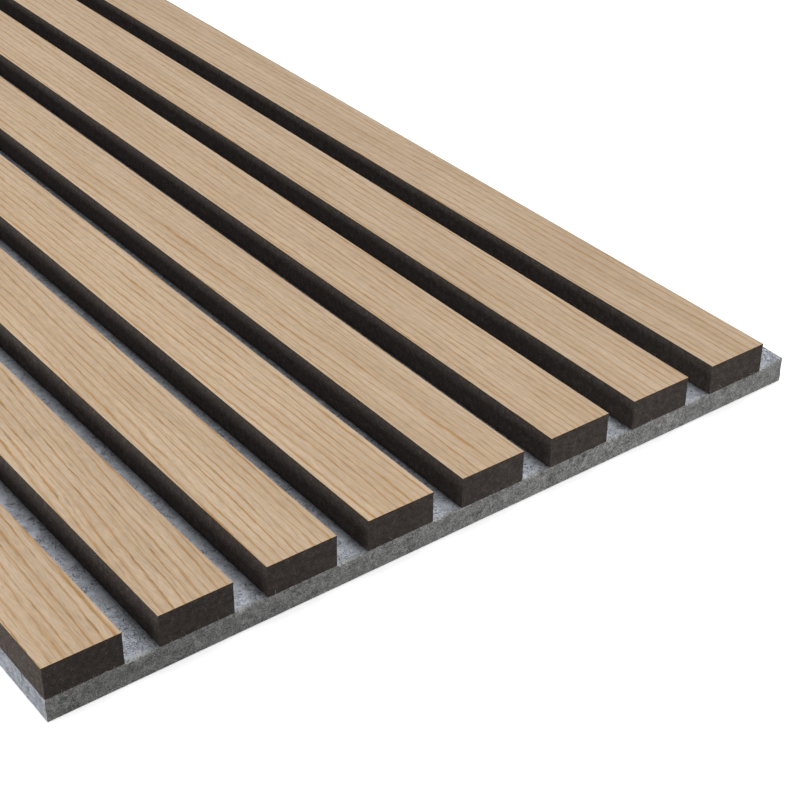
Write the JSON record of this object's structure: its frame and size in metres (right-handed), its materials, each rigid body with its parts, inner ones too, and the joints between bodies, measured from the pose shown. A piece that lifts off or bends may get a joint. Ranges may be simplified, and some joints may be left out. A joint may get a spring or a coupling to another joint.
{
  "type": "acoustic slat wall panel",
  "caption": "Flat sound-absorbing wall panel: oak-veneered fibreboard slats fixed side by side, with even gaps, on a felt backing board that stands one gap past the last slat.",
  "frame": {"origin": "middle of the felt's back face", "axes": "+X across the slats, towards the edge where the felt stands past the last slat; +Y along the slats; +Z out of the wall, from the felt to the oak faces"},
  "size_m": [0.32, 2.4, 0.0215],
  "materials": {
    "felt": "pressed grey polyester felt, matt and fibrous",
    "dyed_fibreboard": "through-dyed dark fibreboard, matt, saw-cut ends",
    "oak_veneer": "light oak veneer, matt lacquer",
    "staple_wire": "galvanised flat wire"
  },
  "bodies": {
    "root": {"felt_backing": "felt", "slat_core_1": "dyed_fibreboard", "oak_veneer_1": "oak_veneer", "slat_core_2": "dyed_fibreboard", "oak_veneer_2": "oak_veneer", "slat_core_3": "dyed_fibreboard", "oak_veneer_3": "oak_veneer", "slat_core_4": "dyed_fibreboard", "oak_veneer_4": "oak_veneer", "slat_core_5": "dyed_fibreboard", "oak_veneer_5": "oak_veneer", "slat_core_6": "dyed_fibreboard", "oak_veneer_6": "oak_veneer", "slat_core_7": "dyed_fibreboard", "oak_veneer_7": "oak_veneer", "slat_core_8": "dyed_fibreboard", "oak_veneer_8": "oak_veneer", "staples": "staple_wire"}
  },
  "joints": []
}
